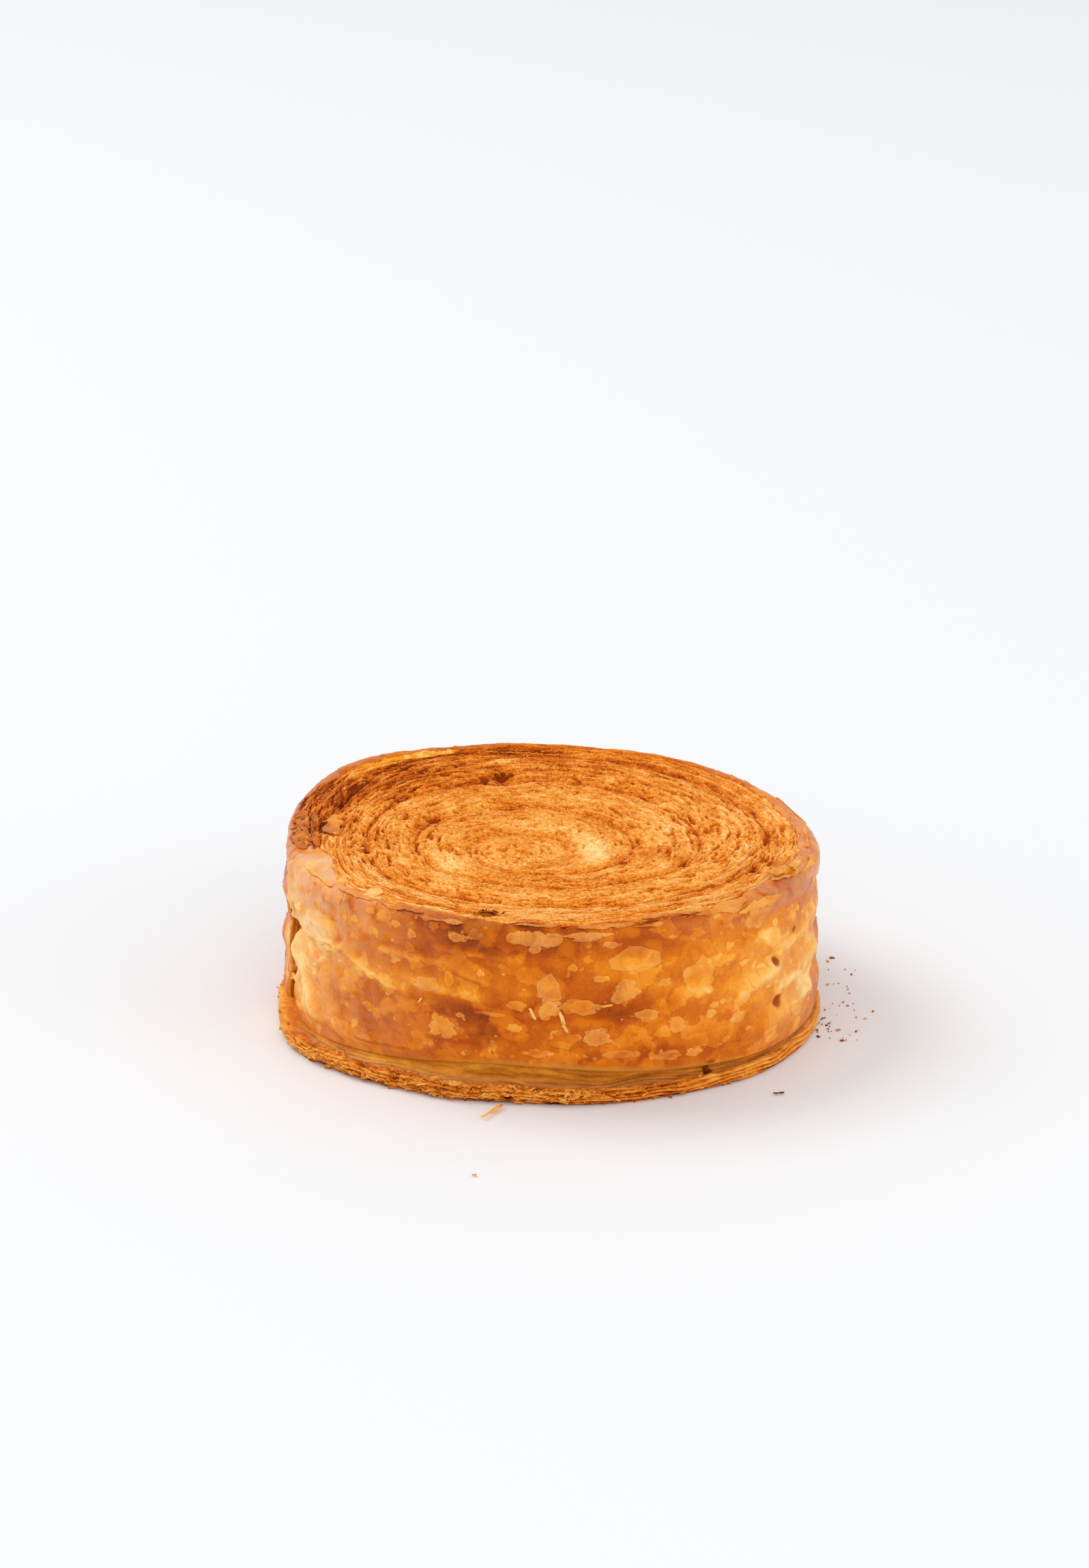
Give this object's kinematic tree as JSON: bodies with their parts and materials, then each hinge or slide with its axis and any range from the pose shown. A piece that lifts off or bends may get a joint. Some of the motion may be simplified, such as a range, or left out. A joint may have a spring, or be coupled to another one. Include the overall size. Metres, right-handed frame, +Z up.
{
  "type": "croissant roll",
  "caption": "Round baked pastry roll: a strip of flaky laminated dough wound in a spiral, with a browned crust round its side and a crumbly ledge at its foot.",
  "frame": {"origin": "middle of the base, on the surface the roll rests on", "axes": "+Z up along the axis the strip is wound round; -Y is the side the picture shows; the strip's loose end is at -X"},
  "size_m": [0.113, 0.1112, 0.042],
  "materials": {
    "baked_crust": "satin egg-washed crust, orange brown with paler blisters",
    "toasted_crumb": "matte toasted crumb with fine layers and pores",
    "dry_flake": "dry, thin, pale golden flakes"
  },
  "bodies": {
    "root": {"roll": "baked_crust"}
  },
  "joints": []
}
